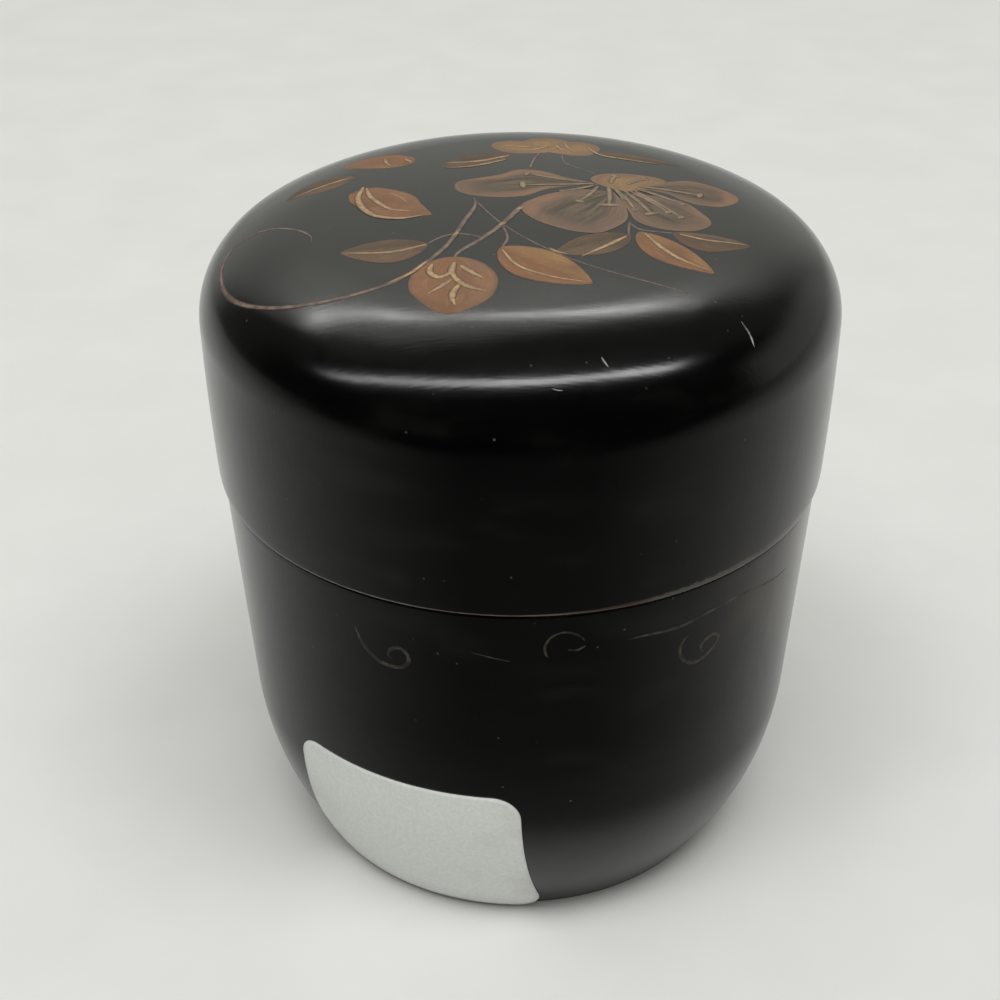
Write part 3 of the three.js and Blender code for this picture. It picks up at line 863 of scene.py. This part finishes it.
# %% Petal lacquer
def petal_lacquer(name, inside, streak_colour, border, patch_colour, line):
    """Thin colour inside, streaks that run out from the heart, a border and a fine
    line round it. How near the edge a place is, is the larger of two numbers: how
    far out across the petal and the cube of how far along it."""
    material, tree, shader = finish_for(name, Roughness=0.5, Specular_IOR_Level=0.2)
    texture = add(tree, "TexCoord")
    along = add(tree, "SeparateXYZ", texture.outputs["UV"])
    place = texture.outputs["Object"]
    wander = add(tree, "TexNoise", Vector=place, Scale=500.0, Detail=3.0)  # 2 mm
    cubed = add(tree, "Math", along.outputs["Y"], 3.0, operation="POWER")
    outer = add(tree, "Math", outwards(tree, along), cubed, operation="MAXIMUM")
    edge = add(tree, "Math", wander, 0.4, outer, operation="MULTIPLY_ADD")
    body = add(tree, "ValToRGB", edge, stops=[(0.5, inside), (0.96, border)])

    patches = add(tree, "TexNoise", Vector=place, Scale=130.0, Detail=1.0)  # 8 mm
    patches = add(tree, "MapRange", patches, 0.42, 0.6, **SMOOTH)
    redder = add(tree, "MapRange", edge, 0.7, 1.05, **SMOOTH)
    redder = add(tree, "Math", redder, patches, operation="MULTIPLY")
    body = add(tree, "Mix", data_type="RGBA", Factor=redder, A=body, B=patch_colour)

    lines = streaked(tree, along, 13.0, 1.6)
    lines = add(tree, "MapRange", lines, 0.46, 0.64, **SMOOTH)
    heart = add(tree, "MapRange", along.outputs["Y"], 1.0, 0.1, 0.2, 0.85, **SMOOTH)
    streaks = add(tree, "Math", lines, heart, operation="MULTIPLY")
    body = add(tree, "Mix", data_type="RGBA", Factor=streaks, A=body, B=streak_colour)
    feed(tree, shader.inputs["Base Color"], layer(tree, body, line, edge, 1.08, 1.16, 0.8))
    return material


paints["petal"] = petal_lacquer(
    "petal_brown_lacquer", "#4a4236", "#7e6b56", "#6e594a", "#86634e", "#7a6350")
paints["gold_petal"] = petal_lacquer(
    "petal_golden_brown_lacquer", "#86694a", "#9a7c56", "#7a5f4a", "#7a5e4c", "#7c6351")
print("lacquers for the spray:", len(paints))

# %% [markdown]
# Stems, gold and scratches are single strokes of one pigment. Gold powder is
# sprinkled on wet lacquer, and its grains lie at all angles, so old and rubbed it
# looks like a dull warm paint and not like metal. It is finished as a paint too.


# %% Brushed stems, gold powder and scratches
def brushed(name, dark, light, ground, roughness):
    """A stroke of one pigment. The ground shows through where the brush ran dry,
    and most along the stroke's two edges."""
    material, tree, shader = finish_for(name, Roughness=roughness, Specular_IOR_Level=0.3)
    texture = add(tree, "TexCoord")
    along = add(tree, "SeparateXYZ", texture.outputs["UV"])
    place = texture.outputs["Object"]
    dry = add(tree, "TexNoise", Vector=place, Scale=2200.0, Detail=4.0)  # half a millimetre
    pigment = add(tree, "TexNoise", Vector=place, Scale=900.0, Detail=2.0)  # 1 mm
    body = add(tree, "ValToRGB", pigment, stops=[(0.38, dark), (0.6, light)])
    edge = add(tree, "Math", dry, 1.1, outwards(tree, along), operation="MULTIPLY_ADD")
    feed(tree, shader.inputs["Base Color"], layer(tree, body, ground, edge, 0.85, 1.4))
    return material


paints["stem"] = brushed("stem_brown_lacquer", "#5c4c42", "#7e6a5d", "#3a302a", 0.45)
paints["gold"] = brushed("gold_powder", "#8e7353", "#ad9068", "#6f5441", 0.45)
paints["dull_gold"] = brushed("thin_gold_powder", "#746250", "#8e795f", "#5e4e40", 0.45)
paints["scratch"] = brushed("scratched_lacquer", "#5a5a58", "#a0a09c", "#1c1c1b", 0.5)
paints["scroll"] = brushed("worn_brown_gold", "#28241e", "#464036", "#11100e", 0.4)
print("finishes for the spray:", sorted(paints))

# %% [markdown]
# The label's paper is matt and faintly mottled by its fibres, and years of
# handling have left it smudged in places.

# %% Paper
paper, tree, shader = finish_for("label_paper", Roughness=0.7)
place = add(tree, "TexCoord").outputs["Object"]
fibre = add(tree, "TexNoise", Vector=place, Scale=2500.0, Detail=4.0)  # 0.4 mm
smudges = add(tree, "TexNoise", Vector=place, Scale=110.0, Detail=4.0)  # 9 mm
clean = add(tree, "ValToRGB", fibre, stops=[(0.3, "#cfd1cf"), (0.7, "#dbdddb")])
feed(tree, shader.inputs["Base Color"], layer(tree, clean, "#b4b3ad", smudges, 0.48, 0.75, 0.5))
feed(tree, shader.inputs["Normal"], add(tree, "Bump", Height=fibre, Strength=0.15, Distance=0.00005))
print("paper's nodes:", len(tree.nodes))

# %% [markdown]
# Now each finish goes on its pieces, and each piece says what carries it. The two
# shells and the label stand for the frame's solids, and every painted stroke
# rides on the shell that it lies on, so the spray lifts off with the lid.

# %% Finishes and carriers
for piece, material, body, node, slot in [
    (cup, cup_lacquer, "cup", "body", "cup_lacquer"),
    (lid, lid_lacquer, "lid", "lid", "lid_lacquer"),
    (label, paper, "cup", "paper_label", "label_paper"),
]:
    piece.data.materials.append(material)
    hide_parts(node)
    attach(piece, body)
for piece, kind in spray + gold:
    piece.data.materials.append(paints[kind])
    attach(piece, "lid")
for piece in scrolls:
    piece.data.materials.append(paints["scroll"])
    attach(piece, "cup")
print("pieces on the lid:", 1 + len(spray) + len(gold), "and on the cup:", 2 + len(scrolls))

# %% [markdown]
# Polished black shows little of its own: what the eye reads as its shape is the
# room's reflection. The room is pale behind the caddy, dimmer on its right, and
# dark overhead and in front, where no light comes from, so the middle of its side
# mirrors darkness and its flanks grow pale. Table and room share one formula for
# that, and it is asked for by glossy rays alone. On the table it is a painted
# shadow: its colour is painted darker towards the front, and only reflections
# see it. Everything that is seen directly, and all scattered light, stays plain
# and pale.


# %% Towards the back
def rearward(tree, place, turn):
    """How far a place lies to the back: the cosine of its bearing, seen from the
    upright axis, from straight behind. Turn (radians) moves straight behind to the
    left. Returns it with the level distance from the axis."""
    part = add(tree, "SeparateXYZ", place)
    level = add(tree, "CombineXYZ", X=part.outputs["X"], Y=part.outputs["Y"])
    reach = add(tree, "VectorMath", level, operation="LENGTH")
    behind = (-np.sin(turn), np.cos(turn), 0.0)
    run = add(tree, "VectorMath", level, behind, operation="DOT_PRODUCT")
    return add(tree, "Math", run, reach, operation="DIVIDE"), reach


# %% The table
TABLE_HALF = 3.0
TABLE_TURN = np.radians(1.0)  # the middle of the pale part, to the left of straight behind
table_mesh = bpy.data.meshes.new("table")
corners = [(-TABLE_HALF, -TABLE_HALF, 0.0), (TABLE_HALF, -TABLE_HALF, 0.0),
           (TABLE_HALF, TABLE_HALF, 0.0), (-TABLE_HALF, TABLE_HALF, 0.0)]
table_mesh.from_pydata(corners, [], [(0, 1, 2, 3)])
table = bpy.data.objects.new("table", table_mesh)
scene.collection.objects.link(table)
table_paint, tree, shader = finish_for("matt_white_table", Roughness=0.9, Specular_IOR_Level=0.1)
place = add(tree, "TexCoord").outputs["Object"]
mottle = add(tree, "TexNoise", Vector=place, Scale=60.0, Detail=3.0)  # 17 mm
pale = add(tree, "ValToRGB", mottle, stops=[(0.3, "#e2e2e1"), (0.7, "#e6e6e5")])
back, reach = rearward(tree, place, TABLE_TURN)
# The painted shadow begins further back on the far table than on the near one.
nearly = add(tree, "MapRange", reach, 0.15, 0.5, 0.5, 0.9)
wholly = add(tree, "MapRange", reach, 0.15, 0.5, -0.95, -0.4)
front = add(tree, "MapRange", back, nearly, wholly)
# How far the painted shadow has set in, by metres out from the axis: beside the
# foot the table still mirrors pale.
painted_shadow_onset = add(tree, "ValToRGB", reach, stops=[
    (0.034, "#707070"), (0.042, "#d8d8d8"), (0.055, "#f2f2f2"), (0.1, "#f2f2f2"), (0.14, "#f8f8f8"),
    (0.25, "#fefefe")])
# Glossy rays alone see the table's colour mixed towards black here: a painted shadow in front of the caddy.
rays = add(tree, "LightPath")
shade = add(tree, "Math", front, painted_shadow_onset, operation="MULTIPLY")
painted_shadow_share = add(tree, "Math", shade, rays.outputs["Is Glossy Ray"], operation="MULTIPLY")
mirrored = add(tree, "Mix", data_type="RGBA", Factor=painted_shadow_share, A=pale, B="#000000")
feed(tree, shader.inputs["Base Color"], mirrored)
table.data.materials.append(table_paint)
print("table", 2 * TABLE_HALF, "m across")

# %% The room
ROOM_COLOUR = "#e4e4dc"
SCATTERED = 0.62  # level of the light that the surfaces scatter
SEEN = 0.95  # level at which the room itself is seen
MIRRORED = 0.76  # level at which the lacquer shows the wall behind
HIGH_UP = 1.9  # how many times brighter that wall is near the ceiling
ROOM_TURN = np.radians(4.0)
world = bpy.data.worlds.new("room")
scene.world = world
world.use_nodes = True
tree = world.node_tree
background = tree.nodes["Background"]
direction = add(tree, "TexCoord").outputs["Generated"]
back, reach = rearward(tree, direction, ROOM_TURN)
part = add(tree, "SeparateXYZ", direction)
aside, up = part.outputs["X"], part.outputs["Z"]

# The wall behind grows brighter upwards, as far as the dim ceiling. That begins
# near sixty degrees in the middle, and lower down on the right.
lower = add(tree, "Math", aside, 0.1, operation="ADD")
lower = add(tree, "Math", lower, 0.0, operation="MAXIMUM")
lower = add(tree, "Math", lower, 0.45, operation="MULTIPLY")
lower = add(tree, "Math", up, lower, operation="ADD")
ceiling = add(tree, "MapRange", lower, 0.83, 0.96, **SMOOTH)
under = add(tree, "Math", 1.0, ceiling, operation="SUBTRACT")
level = add(tree, "MapRange", up, 0.45, 0.65, MIRRORED, HIGH_UP * MIRRORED, **SMOOTH)
behind = add(tree, "MapRange", back, 0.6, 0.88, **SMOOTH)
wall = add(tree, "Math", level, behind, operation="MULTIPLY")
wall = add(tree, "Math", wall, under, operation="MULTIPLY")

# The right wall is dimmer, and stops short of the front.
side = add(tree, "MapRange", aside, 0.2, 0.7, To_Max=0.55, **SMOOTH)
short = add(tree, "MapRange", back, -0.25, 0.0, **SMOOTH)
high = add(tree, "MapRange", up, 0.3, 0.6, **SMOOTH)
high = add(tree, "Math", 1.0, high, operation="SUBTRACT")
side = add(tree, "Math", side, short, operation="MULTIPLY")
side = add(tree, "Math", side, high, operation="MULTIPLY")

faint = add(tree, "MapRange", back, 0.1, 0.5, To_Max=0.1, **SMOOTH)
faint = add(tree, "Math", faint, 0.02, operation="ADD")
mirrored = add(tree, "Math", side, faint, operation="MAXIMUM")
mirrored = add(tree, "Math", wall, mirrored, operation="MAXIMUM")
rays = add(tree, "LightPath")
plain = add(tree, "MapRange", rays.outputs["Is Camera Ray"], 0.0, 1.0, SCATTERED, SEEN)
strength = add(tree, "Mix", data_type="FLOAT", Factor=rays.outputs["Is Glossy Ray"], A=plain, B=mirrored)
background.inputs["Color"].default_value = linear(ROOM_COLOUR)
feed(tree, background.inputs["Strength"], strength)
print("room levels:", SCATTERED, SEEN, MIRRORED)

# %% [markdown]
# Two bright lines cross the lid, one where the crown meets the shoulder and one
# lower down. Each is the mirror image of a row of ceiling lamps, and the law of
# reflection, run backwards from the lines, says where the rows hang. A row is a
# chain of flat lamps along a smooth path, and its light rises and falls along it
# as the line's does. These lamps show in the lacquer only. Three softer ones,
# which it doesn't show, light the table and throw the pale shadow.


# %% Lamps
def lamp(name, place, aim, along, size, radiance, mirrored):
    """A flat area lamp that faces a point, its first side (size, metres) as near
    as can be along a direction. Its power is its radiance times pi times its
    area. It shows in reflections, or it lights, but not both."""
    data = bpy.data.lights.new(name, "AREA")
    data.shape = "RECTANGLE"
    data.size, data.size_y = size
    data.energy = radiance * np.pi * size[0] * size[1]
    away = (Vector(place) - Vector(aim)).normalized()
    across = away.cross(Vector(along)).normalized()
    lamp_object = bpy.data.objects.new(name, data)
    lamp_object.location = Vector(place)
    lamp_object.rotation_euler = Matrix((across.cross(away), across, away)).transposed().to_euler()
    lamp_object.visible_glossy = mirrored
    lamp_object.visible_diffuse = not mirrored
    scene.collection.objects.link(lamp_object)


def lamp_row(name, points, width, levels):
    """A row of lamps of one width (metres), end to end, along a smooth path under
    the ceiling. Their radiance runs evenly through the given levels."""
    path = smooth_path(points, ROW_LAMPS + 1)
    radiance = np.interp(np.arange(ROW_LAMPS) + 0.5, np.linspace(0, ROW_LAMPS, len(levels)), levels)
    for number, (start, end) in enumerate(zip(path[:-1], path[1:])):
        run = end - start
        size = (float(np.hypot(*run)), width)
        lamp(f"{name}_{number}", (*(0.5 * (start + end)), CEILING), CAP, (*run, 0.0), size,
             float(radiance[number]), True)


CAP = (0.0, 0.0, 0.07)  # the middle of the crown, which the lamps face
CEILING = 0.6  # height of the rows over the table
ROW_LAMPS = 14  # lamps in a row
BEHIND_WIDTH = 0.02
BEHIND_PATH = [(-0.42, 0.32), (-0.34, 0.365), (-0.25, 0.393), (-0.15, 0.405), (-0.09, 0.44),
               (-0.014, 0.51), (0.049, 0.547), (0.122, 0.5), (0.2, 0.478), (0.28, 0.44)]
BEHIND_LEVELS = [10.0, 22.0, 14.0, 23.0, 5.0, 13.0, 19.0, 27.0, 13.0, 3.0]
FRONT_WIDTH = 0.08
FRONT_PATH = [(-0.8, -0.17), (-0.6, -0.205), (-0.37, -0.19), (-0.24, -0.182), (-0.1, -0.148),
              (0.02, -0.13), (0.143, -0.095), (0.25, -0.072), (0.38, -0.05)]
FRONT_LEVELS = [1.5, 4.2, 5.5, 6.5, 8.7, 12.0, 9.0, 11.0, 8.0]
SOFT_SIDE = 0.5  # side of a soft lamp, metres
SOFT_RADIANCE = 6.4
SOFT_PLACES = {"soft_left": (-0.5, -0.45, 1.5), "soft_front": (0.0, -0.6, 1.5),
               "soft_right": (0.5, -0.35, 1.5)}
lamp_row("row_behind", BEHIND_PATH, BEHIND_WIDTH, BEHIND_LEVELS)
lamp_row("row_front", FRONT_PATH, FRONT_WIDTH, FRONT_LEVELS)
for name, place in SOFT_PLACES.items():
    lamp(name, place, CAP, (1.0, 0.0, 0.0), (SOFT_SIDE, SOFT_SIDE), SOFT_RADIANCE, False)
print("lamps:", len(bpy.data.lights))
